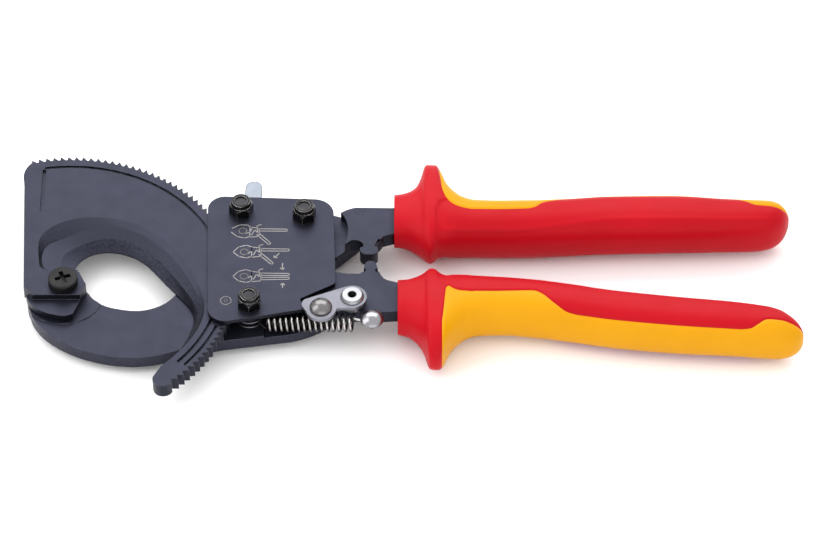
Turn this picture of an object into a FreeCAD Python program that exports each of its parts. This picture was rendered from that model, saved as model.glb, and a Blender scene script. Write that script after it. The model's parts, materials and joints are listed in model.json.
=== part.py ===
import FreeCAD, Part
import math
import os

# Ratchet cable cutter with insulated handles, 250 mm class, for cables up to 32 mm.
# It lies on its back: +X runs from the head to the grips, +Y points to the fixed
# handle, +Z out of the front. All sizes are millimetres. The parts are drawn with
# the blade pivot on the Z axis and the front face of the moving blade at Z = 0;
# save() then moves them so that the row's origin is the bottom centre of the tool.

V = FreeCAD.Vector
X_AXIS = V(1, 0, 0)
Z_AXIS = V(0, 0, 1)

# Place of the blade pivot in the row frame
PIVOT_X = -110.31
PIVOT_Y = -6.04
FACE_Z = 12.316

# Layers of the head, front to back
BLADE_BACK = -4.9
JAW_FRONT = -5.0
JAW_BACK = -9.5
COVER_BACK = 0.2
COVER_FRONT = 1.7
NUT_FRONT = 6.7
LATCH_BACK = 2.0
LATCH_FRONT = 3.4

# Ratchet teeth of the moving blade
TIP_RADIUS = 55.7
ROOT_RADIUS = 54.3
TOOTH_PITCH = 2.5          # degrees, 144 teeth to a full turn
FIRST_TIP = 103.5          # angle of the first tooth's tip
TOOTH_COUNT = 61
RAMP_SHARE = 0.6           # part of the pitch taken by the gentle flank
ROOT_SHARE = 0.24          # part of the pitch taken by the flat root

# Pivots and bolts, as (x, y)
PAWL_BOLT = (56.4, 29.9)
SHANK_BOLT = (76.9, 27.8)
SPRING_BOLT = (59.9, -10.5)
HANDLE_PIVOT = (73.5, 0.5)
DRIVE_PIN = (63.2, 6.0)
LATCH_PIVOT = (92.7, -8.8)
LATCH_BUTTON = (82.8, -13.4)
SPRING_POST = (99.0, -15.6)
DOWEL = (81.0, 20.6)
STOP_CENTRE = (97.9, 15.2)
LEVER_RIVET = (57.5, 19.9)

# Round parts and clearances
M4_RADIUS = 2.0
M6_RADIUS = 3.0
RUNNING = 0.05             # radial clearance of a turning fit
SLIDING = 0.1              # clearance between sliding faces
PAWL_SLEEVE_RADIUS = 3.0
SPRING_SLEEVE_RADIUS = 4.4
HANDLE_PIN_RADIUS = 4.0
DRIVE_PIN_RADIUS = 1.75
LATCH_RIVET_RADIUS = 2.0
LATCH_RIVET_BORE = 1.4
LEVER_RIVET_RADIUS = 1.0
DOWEL_RADIUS = 2.0
STOP_RADIUS = 1.9
POST_STEM_RADIUS = 1.3
POST_SEAT = -1.15          # height of the thinned lobe that the spring post stands on
POST_LOBE = 1.2            # thickness of that lobe
POST_HEAD_BACK = 0.0       # underside of its head
BUTTON_STEM_RADIUS = 1.5
BOLT_HEAD_RADIUS = 4.0
BOLT_HEAD_HEIGHT = 2.0
BOLT_SOCKET = 2.5          # across flats
NUT_ACROSS_FLATS = 7.0
NUT_COLLAR_HEIGHT = 1.3
PIVOT_NUT_ACROSS_FLATS = 9.0
PIVOT_NUT_HEIGHT = 2.1
PIVOT_NUT_SEAT = 2.2       # depth of the round recess that the nut lies in
SCREW_HEAD_RADIUS = 4.75
SCREW_HEAD_HEIGHT = 2.9

# Pawls are drawn in mesh with the teeth, then lifted by these angles
HOLD_PAWL_LIFT = 5.0
DRIVE_PAWL_LIFT = 13.0
HOLD_GAP_TIP = 13.5        # tooth tip just above the holding pawl's nose
DRIVE_GAP_TIP = -1.5       # tooth tip just above the driving pawl's nose
HOLD_NOSE_SLACK = 0.1      # degrees between a nose and the steep flank below it
DRIVE_NOSE_SLACK = 0.5
PAWL_BACK = -4.8
PAWL_FRONT = -1.6
DRIVE_BACK = -2.5
DRIVE_FRONT = -0.1
TONGUE_FRONT = -2.6
LEVER_BACK = -1.4
LEVER_FRONT = 0.0
HOLD_SPRING_RADIUS = 3.9
HOLD_SPRING_LEGS = ((200, 5.0), (60, 4.4))       # (angle, length)
DRIVE_SPRING_RADIUS = 2.35
DRIVE_SPRING_LEGS = ((150, 4.0), (250, 3.6))

# Return spring: a closely wound tension spring with a hook at each end
SPRING_Y = -15.1
SPRING_Z = -2.6
SPRING_MEAN_RADIUS = 2.35
SPRING_WIRE = 0.4
SPRING_START = 65.2
SPRING_END = 93.6
SPRING_TURNS = 15.5
ANCHOR_HOOK_Z = -3.75

# Grips: stations as (distance from the collar, outer edge, inner edge, half thickness);
# the edges are Y values, and outer means the side away from the other handle
FIXED_GRIP_X = 106.0
FIXED_GRIP = (
    (0.0, 37.6, 20.1, 6.8),
    (3.0, 38.8, 19.8, 7.2),
    (6.0, 40.8, 18.3, 7.7),
    (7.8, 42.7, 16.7, 8.1),
    (9.0, 45.9, 15.3, 8.7),
    (10.0, 50.6, 14.3, 9.2),
    (11.5, 52.0, 13.2, 9.6),
    (13.0, 51.4, 14.3, 9.8),
    (14.3, 50.4, 16.0, 9.8),
    (15.5, 47.2, 16.6, 9.7),
    (17.0, 42.6, 17.0, 9.6),
    (19.0, 39.3, 17.2, 9.4),
    (22.0, 36.4, 17.3, 9.1),
    (26.0, 35.0, 17.3, 8.8),
    (34.0, 34.6, 17.2, 8.8),
    (45.0, 34.6, 17.4, 9.0),
    (55.0, 35.1, 17.9, 9.0),
    (70.0, 36.4, 18.4, 8.9),
    (90.0, 36.8, 18.8, 8.7),
    (108.0, 35.3, 19.4, 8.6),
    (117.0, 34.6, 19.9, 8.6),
    (121.5, 34.4, 20.7, 8.3),
    (124.5, 33.8, 22.2, 7.2),
    (126.5, 32.4, 24.2, 5.5),
    (127.5, 30.9, 26.2, 4.0),
    (127.9, 29.6, 27.5, 3.0),
)
MOVING_GRIP_X = 107.2
MOVING_GRIP = (
    (0.0, -17.6, 1.1, 6.8),
    (3.0, -18.4, 1.3, 7.2),
    (6.0, -21.1, 2.4, 7.7),
    (7.8, -24.2, 3.6, 8.1),
    (9.0, -27.6, 4.8, 8.7),
    (10.0, -30.8, 5.6, 9.2),
    (11.5, -32.2, 5.9, 9.6),
    (13.0, -31.9, 4.3, 9.8),
    (14.3, -31.0, 3.1, 9.8),
    (15.5, -27.6, 2.5, 9.7),
    (17.0, -24.0, 2.2, 9.6),
    (19.0, -21.1, 2.1, 9.4),
    (22.0, -18.3, 1.9, 9.1),
    (26.0, -16.9, 1.5, 8.8),
    (34.0, -16.6, 0.8, 8.8),
    (45.0, -17.6, -0.6, 9.0),
    (55.0, -19.3, -2.2, 9.0),
    (70.0, -22.1, -4.8, 8.9),
    (90.0, -24.4, -7.4, 8.7),
    (108.0, -25.5, -9.6, 8.6),
    (117.0, -26.2, -11.5, 8.6),
    (121.5, -26.4, -13.1, 8.3),
    (124.5, -26.1, -15.0, 7.2),
    (127.0, -25.1, -17.3, 5.5),
    (128.2, -23.9, -19.2, 4.0),
    (128.7, -22.9, -20.4, 3.0),
)
SECTION_POINTS = 20
SECTION_ROUNDNESS = 2.4    # exponent of the superellipse
GRIP_CENTRE_Z = -2.5

# Edge of the hard inlay, as (distance from the collar, share of the half width outward
# from the middle): first its front end, different on the two handles, then the rest
FIXED_INLAY_FRONT = ((14.3, 1.3), (14.3, 0.8), (15.0, 0.45), (15.6, 0.22), (17.2, 0.1))
MOVING_INLAY_FRONT = ((14.2, 1.3), (14.2, 0.4), (15.1, -0.1), (15.6, -0.36), (16.3, -0.35))
INLAY_EDGE = ((20.2, 0.05), (30.0, 0.1), (43.0, 0.12), (46.0, 0.24), (50.5, 0.55),
              (55.0, 0.71), (62.0, 0.74), (85.0, 0.72), (108.0, 0.73), (111.7, 0.68),
              (114.0, 0.51), (117.0, 0.24), (121.5, 0.16), (126.2, 0.08), (131.0, 0.0))


def save(name, shape):
    """Write one sub-part, moved into the row frame."""
    placed = shape.copy()
    placed.translate(V(PIVOT_X, PIVOT_Y, FACE_Z))
    placed.exportStep("parts/" + name + ".step")


def polar(radius, degrees):
    """Point at a radius and angle about the blade pivot."""
    angle = math.radians(degrees)
    return (radius * math.cos(angle), radius * math.sin(angle))


class Outline:
    """Closed plan outline, built edge by edge from its start point."""

    def __init__(self, start):
        self.start = V(*start, 0)
        self.at = self.start
        self.edges = []

    def line(self, *points):
        for point in points:
            target = V(*point, 0)
            self.edges.append(Part.LineSegment(self.at, target).toShape())
            self.at = target
        return self

    def arc(self, middle, end):
        target = V(*end, 0)
        self.edges.append(Part.Arc(self.at, V(*middle, 0), target).toShape())
        self.at = target
        return self

    def curve(self, *points):
        spline = Part.BSplineCurve()
        spline.interpolate([self.at] + [V(*p, 0) for p in points])
        self.edges.append(spline.toShape())
        self.at = V(*points[-1], 0)
        return self

    def wire(self):
        if (self.at - self.start).Length > 1e-6:
            self.line((self.start.x, self.start.y))
        return Part.Wire(self.edges)

    def prism(self, back, front):
        face = Part.Face(self.wire())
        face.translate(V(0, 0, back))
        return face.extrude(V(0, 0, front - back))


def rounded(corners, back, front):
    """Prism of a polygon whose corners are (x, y, radius)."""
    count = len(corners)
    arcs = []
    for i in range(count):
        before = V(*corners[i - 1][:2], 0)
        corner = V(*corners[i][:2], 0)
        after = V(*corners[(i + 1) % count][:2], 0)
        radius = corners[i][2]
        to_before = (before - corner).normalize()
        to_after = (after - corner).normalize()
        half_angle = to_before.getAngle(to_after) / 2
        reach = radius / math.tan(half_angle)
        middle = (to_before + to_after).normalize()
        depth = radius / math.sin(half_angle) - radius
        arcs.append((corner + to_before * reach, corner + middle * depth,
                     corner + to_after * reach))
    path = Outline((arcs[0][2].x, arcs[0][2].y))
    for first, middle, last in arcs[1:] + arcs[:1]:
        path.line((first.x, first.y))
        path.arc((middle.x, middle.y), (last.x, last.y))
    return path.prism(back, front)


def disc(centre, radius, back, front):
    return Part.makeCylinder(radius, front - back, V(*centre, back))


def ring(centre, outer, inner, back, front):
    return disc(centre, outer, back, front).cut(
        disc(centre, inner, back - 1, front + 1))


def hexagon(centre, across_flats, back, front, turn):
    """Hexagonal prism with chamfered front corners."""
    corner_radius = across_flats / math.sqrt(3)
    corners = []
    for i in range(6):
        angle = math.radians(turn + 60 * i)
        corners.append((centre[0] + corner_radius * math.cos(angle),
                        centre[1] + corner_radius * math.sin(angle)))
    prism = Outline(corners[0]).line(*corners[1:]).prism(back, front)
    height = front - back
    cone = Part.makeCone(corner_radius + 0.5 * height, across_flats * 0.485,
                         height, V(*centre, back))
    return prism.common(cone)


def capsule(first, second, first_radius, second_radius, back, front):
    """Plate with two round ends joined by their outer tangents."""
    a = V(*first, 0)
    b = V(*second, 0)
    along = b - a
    angle = math.atan2(along.y, along.x)
    lean = math.acos((first_radius - second_radius) / along.Length)
    points = []
    for centre, radius, side in ((a, first_radius, 1), (b, second_radius, 1),
                                 (b, second_radius, -1), (a, first_radius, -1)):
        turn = angle + side * lean
        points.append((centre.x + radius * math.cos(turn),
                       centre.y + radius * math.sin(turn)))
    strip = Outline(points[0]).line(*points[1:]).prism(back, front)
    ends = disc(first, first_radius, back, front)
    return strip.fuse(ends).fuse(disc(second, second_radius, back, front)).removeSplitter()


def turned(shape, centre, degrees):
    result = shape.copy()
    result.rotate(V(*centre, 0), Z_AXIS, degrees)
    return result


# ---------------------------------------------------------------- head

def fixed_jaw():
    """Lower jaw and back plate in one piece, with the pivot boss recess."""
    plate = Outline((-10.6, -7.0)).curve(
        (-9.3, -10.6), (-3.3, -18.0), (10.1, -25.3), (24.0, -27.4), (37.3, -24.2)
    ).line((51.7, -20.3), (72.8, -17.0)).curve(
        (79.5, -14.6), (85.6, -10.6)
    ).line((81.0, -7.0), (81.0, 8.0), (94.5, 22.0), (95.5, 31.0), (86.0, 34.2)
    ).line((51.0, 35.6)).arc((47.3, 34.0), (46.2, 30.0)
    ).line((46.4, 6.6)).curve(
        (42.6, 5.6), (38.6, 3.0), (33.7, -3.3), (28.0, -6.7), (23.3, -7.5),
        (18.5, -6.9), (12.7, -5.0), (8.4, -0.8), (5.3, 3.8), (4.0, 10.2)
    ).arc((-10.6, 3.2), (-10.6, -7.0)).prism(JAW_BACK, JAW_FRONT)
    boss = ring((0, 0), 13.4, 13.0, JAW_FRONT - 0.25, JAW_FRONT + 1)
    body = plate.cut(jaw_bevel()).cut(boss)
    body = body.cut(spring_pocket())
    body = body.cut(disc((0, 0), M6_RADIUS, JAW_BACK - 1, JAW_FRONT + 1))
    nut_room = disc((0, 0), PIVOT_NUT_ACROSS_FLATS * 0.6, JAW_BACK - 1, JAW_BACK + PIVOT_NUT_SEAT)
    body = body.cut(nut_room)
    for centre in (PAWL_BOLT, SHANK_BOLT, SPRING_BOLT):
        body = body.cut(bolt_shape(centre))
    body = body.cut(disc(DOWEL, DOWEL_RADIUS, JAW_BACK - 1, JAW_FRONT + 1))
    return body.cut(disc(HANDLE_PIVOT, HANDLE_PIN_RADIUS, JAW_BACK - 1, JAW_FRONT + 1))


def ground_slope(levels, end_height):
    """Cutter for ground slopes through rings of (x, y, z), run on past the last ring."""
    runout = []
    for (x0, y0, z0), (x1, y1, z1) in zip(*levels[-2:]):
        share = (end_height - z1) / (z1 - z0)
        runout.append((x1 + (x1 - x0) * share, y1 + (y1 - y0) * share, end_height))
    wires = []
    for points in levels + [runout]:
        loop = Part.BSplineCurve()
        loop.interpolate([V(*point) for point in points], PeriodicFlag=True)
        wires.append(Part.Wire(loop.toShape()))
    return Part.makeLoft(wires, True, True)


def jaw_bevel():
    """Grind of the jaw's cutting edge, which leaves a narrow land at the front."""
    back_edge = [(6.5, 2.5), (10.0, -5.5), (17.0, -10.8), (24.0, -12.0),
                 (32.0, -9.5), (38.5, -3.0), (42.0, 1.5), (24.0, 16.0)]
    front_edge = [(8.4, -0.8), (12.7, -5.0), (18.5, -6.9), (23.3, -7.5),
                  (28.0, -6.7), (33.7, -3.3), (38.0, 3.0), (24.0, 14.0)]
    levels = [[(x, y, JAW_BACK - 0.01) for x, y in back_edge],
              [(x, y, JAW_FRONT - 1.2) for x, y in front_edge]]
    return ground_slope(levels, JAW_FRONT + 0.5)


def spring_pocket():
    """Shallow channel that lets the return spring lie close to the plate."""
    return rounded([(64.5, -18.8, 1), (90.0, -18.8, 1), (90.0, -11.8, 1),
                    (64.5, -11.8, 1)], JAW_FRONT - 0.8, JAW_FRONT + 1)


def tooth_edge(path):
    """Saw teeth from the first tip clockwise to the tail, steep side first."""
    for i in range(TOOTH_COUNT):
        tip = FIRST_TIP - i * TOOTH_PITCH
        path.line(polar(TIP_RADIUS, tip),
                  polar(ROOT_RADIUS, tip - RAMP_SHARE * TOOTH_PITCH),
                  polar(ROOT_RADIUS, tip - (RAMP_SHARE + ROOT_SHARE) * TOOTH_PITCH))


def moving_blade():
    """Hooked blade with ratchet teeth round its back and a hollow-ground edge."""
    path = Outline((-12.6, -1.6)).line((-14.9, 44.5)).arc((-14.6, 50.4), (-12.6, 53.3))
    tooth_edge(path)
    last = FIRST_TIP - TOOTH_COUNT * TOOTH_PITCH
    path.line(polar(TIP_RADIUS - 0.4, last)).arc((32.2, -43.4), (30.2, -39.6))
    path.curve((35.0, -30.9), (39.7, -21.2), (42.1, -12.0), (40.4, -6.6),
               (35.8, -0.6), (31.1, 5.4), (24.9, 12.8), (17.6, 16.8),
               (9.5, 16.7), (3.0, 10.0)
               ).line((5.3, 3.8), (7.3, -0.5), (5.6, -5.0), (-9.6, -5.0))
    blade = path.prism(BLADE_BACK, 0)
    blade = blade.cut(hollow_grind())
    flange = Outline((-11.9, -3.0)).curve((-8.5, -8.7), (-4.4, -10.9), (1.1, -12.1)).line(
        (3.5, -11.0), (5.6, -5.0), (5.0, -4.0), (-9.0, -4.0)).prism(BLADE_BACK, -2.2)
    blade = blade.fuse(flange).removeSplitter()
    blade = blade.cut(arc_groove()).cut(side_groove()).cut(tail_channel())
    return blade.cut(disc((0, 0), M6_RADIUS + RUNNING, BLADE_BACK - 1, 1))


def hollow_grind():
    """Hollow of the blade: a steep wall at the pivot end that fades into a long slope."""
    brink = [(-8.2, 8.4), (-8.8, 14.5), (-8.0, 20.8), (-4.0, 25.2), (3.2, 28.3), (12.0, 28.6),
             (22.0, 26.0), (31.0, 19.5), (38.5, 10.0), (43.6, -1.0), (45.6, -12.0),
             (42.6, -22.0), (36.0, -31.5), (28.0, -38.0), (20.0, -20.0), (6.0, 4.8)]
    foot = [(-6.9, 8.8, -1.9), (-7.5, 14.0, -1.9), (-6.0, 17.9, -1.9), (-1.8, 20.6, -1.9),
            (4.6, 23.6, -1.4), (12.2, 25.4, -0.7), (20.8, 23.4, -0.4), (29.2, 17.6, -0.4),
            (36.4, 8.6, -0.4), (41.8, -1.6, -0.5), (44.6, -11.6, -0.9), (42.0, -20.8, -1.2),
            (35.7, -31.3, -1.6), (28.0, -38.0, -2.0), (20.0, -20.0, -2.0), (5.6, 5.4, -2.0)]
    edge = [(4.4, 6.4), (3.6, 8.6), (3.3, 10.6), (5.5, 14.3), (9.5, 16.7), (14.4, 17.2),
            (19.5, 16.1), (24.9, 12.8), (31.1, 5.4), (37.4, -2.4), (41.9, -10.4),
            (40.6, -18.8), (35.0, -30.9), (28.0, -38.0), (20.0, -20.0), (6.0, 4.8)]
    edge_height = BLADE_BACK + 0.5
    middle = [(x0 + 0.55 * (x1 - x0), y0 + 0.55 * (y1 - y0), z0 + 0.32 * (edge_height - z0))
              for (x0, y0, z0), (x1, y1) in zip(foot, edge)]
    return ground_slope([[(x, y, 0.01) for x, y in brink], foot, middle,
                         [(x, y, edge_height) for x, y in edge]], BLADE_BACK - 0.6)


def sector_groove(outer, inner, first, last, depth):
    """Curved groove about the blade pivot between two angles."""
    middle = (first + last) / 2
    path = Outline(polar(outer, first)).arc(polar(outer, middle), polar(outer, last))
    path.line(polar(inner, last)).arc(polar(inner, middle), polar(inner, first))
    return path.prism(-depth, 1)


def arc_groove():
    """Step that sets the toothed rim off from the blade's face."""
    return sector_groove(51.8, 50.8, 99.5, 12.0, 0.8)


def side_groove():
    return rounded([(-9.2, 31.2, 0.5), (-8.0, 31.2, 0.5), (-8.0, 50.0, 0.5),
                    (-9.2, 50.0, 0.5)], -0.9, 1)


def tail_channel():
    """Two grooves along the tail."""
    inner = sector_groove(50.9, 49.9, 5.0, -41.5, 0.9)
    return inner.fuse(sector_groove(53.3, 52.4, -20.0, -41.0, 0.9))


def cover_plate():
    """Front cover of the ratchet housing, cut away where the latch lies."""
    plate = rounded([(46.9, -18.9, 5.5), (77.4, -12.6, 0.8), (76.0, -8.2, 0.6),
                     (87.3, -1.6, 1.6), (86.2, 34.9, 6.5), (45.4, 36.6, 5.5)],
                    COVER_BACK, COVER_FRONT)
    for centre in (PAWL_BOLT, SHANK_BOLT, SPRING_BOLT):
        plate = plate.cut(disc(centre, M4_RADIUS, COVER_BACK - 1, COVER_FRONT + 1))
    return plate


def bolt_shape(centre):
    """Countersunk bolt, entered from the back and ending just inside its nut."""
    head = Part.makeCone(BOLT_HEAD_RADIUS, M4_RADIUS, BOLT_HEAD_HEIGHT, V(*centre, JAW_BACK))
    stem = disc(centre, M4_RADIUS, JAW_BACK, NUT_FRONT - 0.5)
    return head.fuse(stem)


def frame_bolts():
    bolts = []
    for centre in (PAWL_BOLT, SHANK_BOLT, SPRING_BOLT):
        socket = hexagon(centre, BOLT_SOCKET, JAW_BACK - 0.01, JAW_BACK + 1.4, 0)
        bolts.append(bolt_shape(centre).cut(socket))
    return Part.makeCompound(bolts)


def lock_nuts():
    """Hexagon nuts with a round collar that holds the locking ring."""
    nuts = []
    shoulder = NUT_FRONT - NUT_COLLAR_HEIGHT
    turns = ((PAWL_BOLT, 12.0), (SHANK_BOLT, 22.0), (SPRING_BOLT, 30.0))
    for centre, turn in turns:
        body = hexagon(centre, NUT_ACROSS_FLATS, COVER_FRONT, shoulder, turn)
        collar = Part.makeCone(3.35, 2.95, NUT_COLLAR_HEIGHT, V(*centre, shoulder))
        nut = body.fuse(collar).removeSplitter()
        nuts.append(nut.cut(disc(centre, M4_RADIUS, 0, NUT_FRONT + 1)))
    return Part.makeCompound(nuts)


def pivot_screw():
    """Cross-recessed screw on which the moving blade turns."""
    head = disc((0, 0), SCREW_HEAD_RADIUS, SLIDING, SCREW_HEAD_HEIGHT)
    rim = [edge for edge in head.Edges if abs(edge.BoundBox.ZMin - SCREW_HEAD_HEIGHT) < 1e-6]
    head = head.makeFillet(0.6, rim)
    stem = disc((0, 0), M6_RADIUS, JAW_BACK + PIVOT_NUT_SEAT - PIVOT_NUT_HEIGHT, SLIDING)
    screw = head.fuse(stem)
    for turn in (20, 110):
        slot = Part.makeBox(5.2, 1.4, 2.2, V(-2.6, -0.7, SCREW_HEAD_HEIGHT - 1.6))
        screw = screw.cut(turned(slot, (0, 0), turn))
    return screw


def pivot_nut():
    """Thin nut sunk into the back of the jaw."""
    seat = JAW_BACK + PIVOT_NUT_SEAT
    nut = hexagon((0, 0), PIVOT_NUT_ACROSS_FLATS, seat - PIVOT_NUT_HEIGHT, seat, 0)
    nut.rotate(V(0, 0, seat - PIVOT_NUT_HEIGHT / 2), X_AXIS, 180)
    return nut.cut(disc((0, 0), M6_RADIUS, JAW_BACK - 1, seat + 1))


# ---------------------------------------------------------------- frame inside

def pawl_sleeve():
    return ring(PAWL_BOLT, PAWL_SLEEVE_RADIUS, M4_RADIUS, JAW_FRONT, COVER_BACK)


def spring_anchor():
    """Grooved sleeve on the lower bolt; the return spring hooks into its groove."""
    sleeve = ring(SPRING_BOLT, SPRING_SLEEVE_RADIUS, M4_RADIUS, JAW_FRONT, DRIVE_BACK - 0.1)
    sleeve = sleeve.fuse(ring(SPRING_BOLT, PAWL_SLEEVE_RADIUS, M4_RADIUS, JAW_FRONT, COVER_BACK))
    groove = ring(SPRING_BOLT, 6.0, 3.1, ANCHOR_HOOK_Z - 0.85, ANCHOR_HOOK_Z + 0.5)
    return sleeve.cut(groove).removeSplitter()


def handle_pin():
    return disc(HANDLE_PIVOT, HANDLE_PIN_RADIUS, JAW_BACK, COVER_BACK)


def shank_dowel():
    return disc(DOWEL, DOWEL_RADIUS, JAW_BACK, COVER_BACK)


def fixed_shank():
    """Plate of the fixed handle, clamped between back plate and cover."""
    plate = Outline((86.4, 28.1)).curve((88.4, 30.3), (93.4, 32.8)).line(
        (106.0, 32.6), (196.0, 31.4), (196.0, 23.8), (106.0, 21.4),
        (102.4, 20.2)).curve((101.0, 18.0), (99.6, 16.6)
    ).arc((100.6, 13.6), (97.9, 12.4)).arc((95.2, 13.6), (96.2, 16.6)
    ).curve((94.8, 18.2), (92.0, 18.4)
    ).line((87.5, 14.2), (78.0, 13.6)).arc((69.8, 18.0), (66.8, 26.6)
    ).arc((70.6, 33.6), (77.0, 34.2)).line((84.6, 33.0)).curve((86.0, 31.0), (86.4, 28.1))
    shank = plate.prism(JAW_FRONT, COVER_BACK)
    step = Outline((84.0, 31.5)).line((88.2, 31.0)).curve(
        (90.0, 28.5), (91.0, 24.0), (90.8, 19.5), (89.0, 14.0)
    ).line((84.0, 12.0)).prism(COVER_BACK - 3.4, COVER_BACK + 1)
    notches = capsule((95.6, 15.9), (94.6, 17.6), 0.5, 0.5, COVER_BACK - 1, COVER_BACK + 1).fuse(
        capsule((100.2, 16.2), (101.2, 18.6), 0.5, 0.5, COVER_BACK - 1, COVER_BACK + 1))
    shank = shank.cut(step).cut(notches)
    shank = shank.cut(disc(SHANK_BOLT, M4_RADIUS, JAW_FRONT - 1, COVER_BACK + 1))
    shank = shank.cut(disc(STOP_CENTRE, STOP_RADIUS, JAW_FRONT - 1, COVER_BACK + 1))
    return shank.cut(disc(DOWEL, DOWEL_RADIUS, JAW_FRONT - 1, COVER_BACK + 1))


def stop_pin():
    """Hardened pin in the fixed shank that the moving handle closes against."""
    return disc(STOP_CENTRE, STOP_RADIUS, JAW_FRONT, COVER_BACK)


# ---------------------------------------------------------------- pawls

def nose_points(gap_tip, slack):
    """Four corners of a pawl nose seated in the gap below a tooth tip."""
    root_high = gap_tip - RAMP_SHARE * TOOTH_PITCH
    root_low = root_high - ROOT_SHARE * TOOTH_PITCH + slack
    return [polar(TIP_RADIUS + 0.5, gap_tip - 0.1), polar(ROOT_RADIUS + 0.2, root_high - 0.05),
            polar(ROOT_RADIUS + 0.2, root_low), polar(TIP_RADIUS + 0.5, root_low - 0.25)]


def leg_room(centre, radius, legs, back):
    """Open slots for the two straight legs of a torsion spring."""
    width = 1.0
    slots = []
    for angle, length in legs:
        corner = V(centre[0] + radius - width / 2, centre[1], back)
        slots.append(turned(Part.makeBox(width, length + width, -back, corner), centre, angle))
    return slots[0].fuse(slots[1])


def holding_pawl():
    """Pawl that keeps the blade from springing open."""
    upper, root_a, root_b, lower = nose_points(HOLD_GAP_TIP, HOLD_NOSE_SLACK)
    arm = Outline(upper).line(root_a, root_b, lower, (58.6, 11.6), (60.4, 24.0),
                              (52.9, 27.6)).prism(PAWL_BACK, PAWL_FRONT)
    pawl = arm.fuse(disc(PAWL_BOLT, 5.2, PAWL_BACK, PAWL_FRONT)).removeSplitter()
    pawl = pawl.cut(ring(PAWL_BOLT, 4.7, 2.0, -2.7, 0))
    pawl = pawl.cut(disc(PAWL_BOLT, PAWL_SLEEVE_RADIUS + RUNNING, PAWL_BACK - 1, 1))
    return turned(pawl, PAWL_BOLT, HOLD_PAWL_LIFT).cut(
        leg_room(PAWL_BOLT, HOLD_SPRING_RADIUS, HOLD_SPRING_LEGS, -2.7))


def release_lever():
    """Plated lever on the holding pawl; its rounded tab stands out above the cover."""
    tab = capsule((59.7, 30.5), (60.2, 41.9), 2.75, 2.75, LEVER_BACK, LEVER_FRONT)
    lever = tab.fuse(capsule(PAWL_BOLT, (57.4, 19.5), 4.6, 2.4, LEVER_BACK,
                             LEVER_FRONT)).removeSplitter()
    lever = lever.cut(disc(LEVER_RIVET, LEVER_RIVET_RADIUS, LEVER_BACK - 1, 1))
    return lever.cut(disc(PAWL_BOLT, PAWL_SLEEVE_RADIUS + RUNNING, LEVER_BACK - 1, 1))


def lever_rivet():
    """Rivet that ties the lever to the pawl below it."""
    return disc(LEVER_RIVET, LEVER_RIVET_RADIUS, PAWL_FRONT, LEVER_FRONT)


def coil_spring(centre, back, mean_radius, wire, coils, legs):
    """Small torsion spring: touching coils with straight legs at the given angles."""
    spring = None
    for i in range(coils):
        coil = Part.makeTorus(mean_radius, wire, V(*centre, back + wire + i * 1.9 * wire))
        spring = coil if spring is None else spring.fuse(coil)
    for level, (angle, length) in zip((0, coils - 1), legs):
        height = back + wire + level * 1.9 * wire
        turn = math.radians(angle)
        start = V(centre[0] + mean_radius * math.cos(turn),
                  centre[1] + mean_radius * math.sin(turn), height)
        along = V(-math.sin(turn), math.cos(turn), 0)
        spring = spring.fuse(Part.makeCylinder(wire, length, start, along))
    return spring


def holding_spring():
    return coil_spring(PAWL_BOLT, -2.68, HOLD_SPRING_RADIUS, 0.3, 2, HOLD_SPRING_LEGS)


def drive_pawl():
    """Pawl on the moving handle that pushes the teeth round at each stroke."""
    upper, root_a, root_b, lower = nose_points(DRIVE_GAP_TIP, DRIVE_NOSE_SLACK)
    arm = Outline(upper).line(root_a, root_b, lower, (61.2, 1.2), (66.0, 4.0),
                              (62.0, 9.2), (59.6, 6.6)).prism(DRIVE_BACK, DRIVE_FRONT)
    pawl = arm.fuse(disc(DRIVE_PIN, 3.5, DRIVE_BACK, DRIVE_FRONT)).removeSplitter()
    pawl = pawl.cut(ring(DRIVE_PIN, 3.0, 1.0, -1.4, 1))
    pawl = pawl.cut(disc(DRIVE_PIN, DRIVE_PIN_RADIUS + RUNNING, DRIVE_BACK - 1, 1))
    return turned(pawl, DRIVE_PIN, DRIVE_PAWL_LIFT).cut(
        leg_room(DRIVE_PIN, DRIVE_SPRING_RADIUS, DRIVE_SPRING_LEGS, -1.4))


def drive_spring():
    return coil_spring(DRIVE_PIN, -1.35, DRIVE_SPRING_RADIUS, 0.25, 2, DRIVE_SPRING_LEGS)


def drive_pin():
    return disc(DRIVE_PIN, DRIVE_PIN_RADIUS, BLADE_BACK, -0.05)


# ---------------------------------------------------------------- moving handle

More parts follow.
